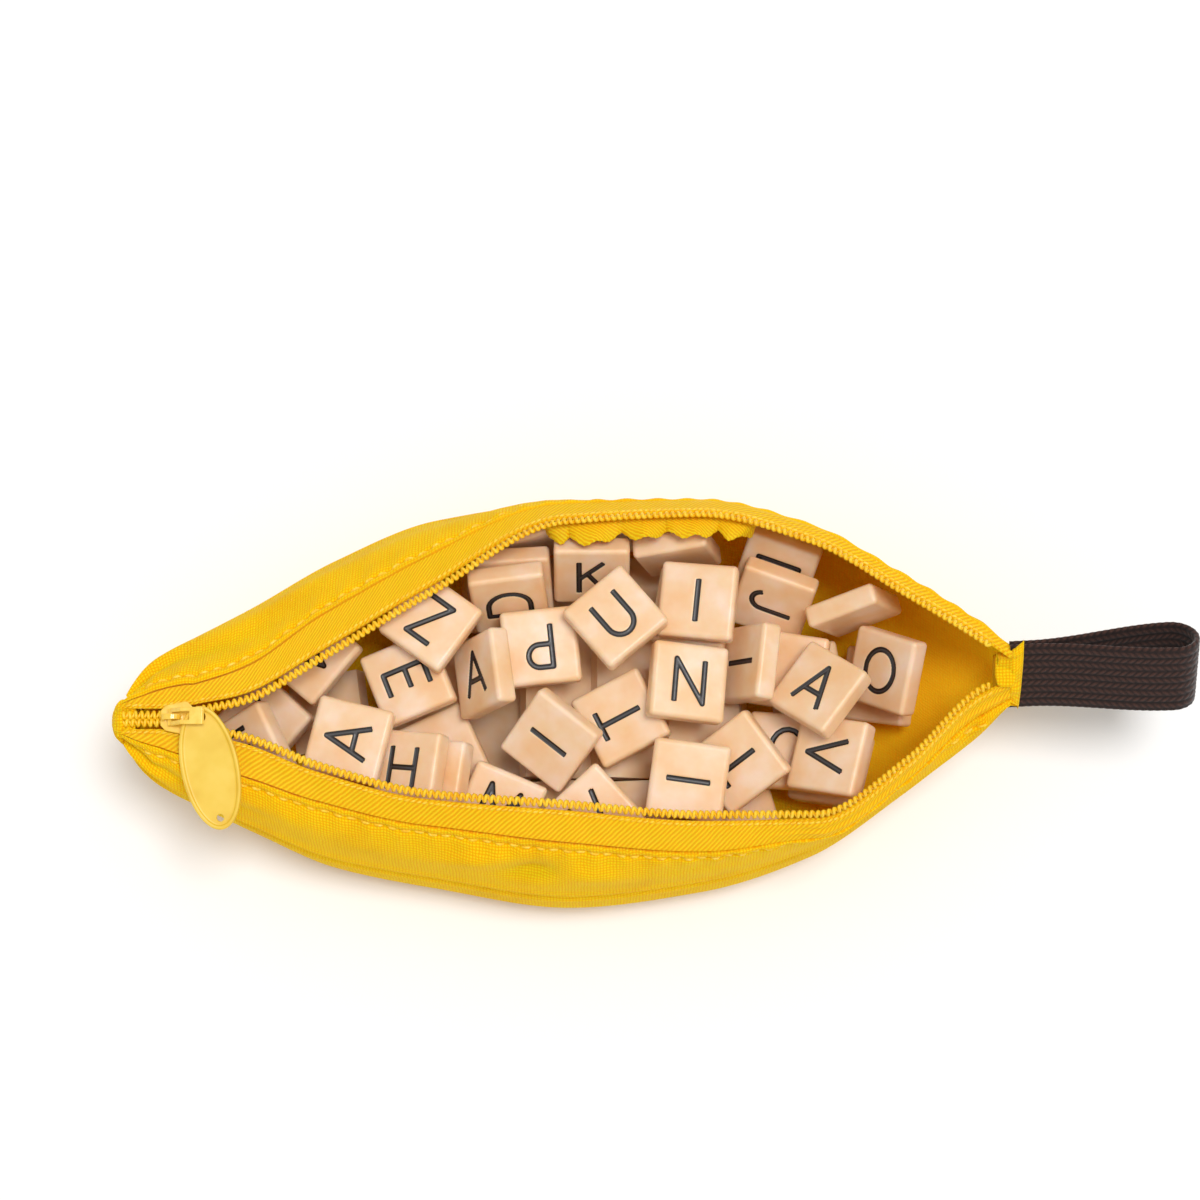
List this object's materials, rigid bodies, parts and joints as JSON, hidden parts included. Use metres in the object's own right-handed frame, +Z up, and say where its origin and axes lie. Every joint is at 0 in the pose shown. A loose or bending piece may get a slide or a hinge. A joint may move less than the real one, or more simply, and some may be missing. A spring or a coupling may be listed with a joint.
{
  "type": "travel word tile game case",
  "caption": "Soft boat-shaped zip pouch lying open and full of square letter tiles, with a zip slider and pull tab at one tip and a webbing wrist strap at the other.",
  "frame": {"origin": "middle of the flat patch of the base panel that the pouch rests on", "axes": "+X along the zip towards the strap, +Y to the back of the pouch, +Z up"},
  "size_m": [0.2703, 0.1039, 0.055],
  "materials": {
    "yellow_canvas": "plain-woven cotton canvas, matt",
    "yellow_zip_tape": "twill-woven polyester tape",
    "yellow_zip_coil": "moulded nylon coil, satin",
    "yellow_painted_metal": "gloss enamel on die-cast zinc",
    "yellow_rubber": "satin moulded soft plastic",
    "brown_webbing": "braided webbing, matt",
    "ivory_tile_plastic": "satin moulded plastic with engraved black letters"
  },
  "bodies": {
    "pouch": {"back_panel": "yellow_canvas", "back_zip_tape": "yellow_zip_tape", "back_zip_teeth": "yellow_zip_coil", "base_panel": "yellow_canvas", "front_panel": "yellow_canvas", "front_zip_tape": "yellow_zip_tape", "front_zip_teeth": "yellow_zip_coil", "hidden_tile_row_1": "ivory_tile_plastic", "hidden_tile_row_2": "ivory_tile_plastic", "hidden_tile_row_3": "ivory_tile_plastic", "hidden_tile_row_4": "ivory_tile_plastic", "hidden_tile_row_5": "ivory_tile_plastic", "hidden_tile_row_6": "ivory_tile_plastic", "left_tip_seam": "yellow_canvas", "letter_tile_01": "ivory_tile_plastic", "letter_tile_02": "ivory_tile_plastic", "letter_tile_03": "ivory_tile_plastic", "letter_tile_04": "ivory_tile_plastic", "letter_tile_05": "ivory_tile_plastic", "letter_tile_06": "ivory_tile_plastic", "letter_tile_07": "ivory_tile_plastic", "letter_tile_08": "ivory_tile_plastic", "letter_tile_09": "ivory_tile_plastic", "letter_tile_10": "ivory_tile_plastic", "letter_tile_11": "ivory_tile_plastic", "letter_tile_12": "ivory_tile_plastic", "letter_tile_13": "ivory_tile_plastic", "letter_tile_14": "ivory_tile_plastic", "letter_tile_15": "ivory_tile_plastic", "letter_tile_16": "ivory_tile_plastic", "letter_tile_17": "ivory_tile_plastic", "letter_tile_18": "ivory_tile_plastic", "letter_tile_19": "ivory_tile_plastic", "letter_tile_20": "ivory_tile_plastic", "letter_tile_21": "ivory_tile_plastic", "letter_tile_22": "ivory_tile_plastic", "letter_tile_23": "ivory_tile_plastic", "letter_tile_24": "ivory_tile_plastic", "letter_tile_25": "ivory_tile_plastic", "letter_tile_26": "ivory_tile_plastic", "letter_tile_27": "ivory_tile_plastic", "letter_tile_28": "ivory_tile_plastic", "letter_tile_29": "ivory_tile_plastic", "letter_tile_31": "ivory_tile_plastic", "letter_tile_33": "ivory_tile_plastic", "letter_tile_34": "ivory_tile_plastic", "letter_tile_36": "ivory_tile_plastic", "letter_tile_37": "ivory_tile_plastic", "letter_tile_38": "ivory_tile_plastic", "letter_tile_39": "ivory_tile_plastic", "letter_tile_40": "ivory_tile_plastic", "right_tip_seam": "yellow_canvas"},
    "slider": {"slider_body": "yellow_painted_metal"},
    "link": {"pull_link": "yellow_painted_metal"},
    "tab": {"pull_tab": "yellow_rubber"},
    "strap": {"strap_loop": "brown_webbing"},
    "lifted_tile_30": {"letter_tile_30": "ivory_tile_plastic"},
    "lifted_tile_32": {"letter_tile_32": "ivory_tile_plastic"},
    "lifted_tile_35": {"letter_tile_35": "ivory_tile_plastic"}
  },
  "joints": [
    {"name": "slider_travel", "type": "slide", "parent": "pouch", "child": "slider", "axis": [1, 0, 0], "range_m": [-0.005, 0.002], "deforming": ["back_zip_teeth", "front_zip_teeth"]},
    {"name": "link_swing", "type": "hinge", "parent": "slider", "child": "link", "pos_m": [-0.09651, -0.00816, 0.0517], "axis": [0, -1, 0], "range_deg": [0, 130]},
    {"name": "tab_swing", "type": "hinge", "parent": "link", "child": "tab", "pos_m": [-0.08921, -0.00816, 0.0526], "axis": [0, -0.1564, 0.9877], "range_deg": [-8, 140]},
    {"name": "strap_bend", "type": "hinge", "parent": "pouch", "child": "strap", "pos_m": [0.11415, 0.00444, 0.04102], "axis": [-0.0383, 0.7299, 0.6825], "range_deg": [-25, 60]},
    {"name": "letter_tile_30_lift", "type": "slide", "parent": "pouch", "child": "lifted_tile_30", "axis": [0, 0, 1], "range_m": [0, 0.06]},
    {"name": "letter_tile_32_lift", "type": "slide", "parent": "pouch", "child": "lifted_tile_32", "axis": [0, 0, 1], "range_m": [0, 0.06]},
    {"name": "letter_tile_35_lift", "type": "slide", "parent": "pouch", "child": "lifted_tile_35", "axis": [0, 0, 1], "range_m": [0, 0.06]}
  ]
}
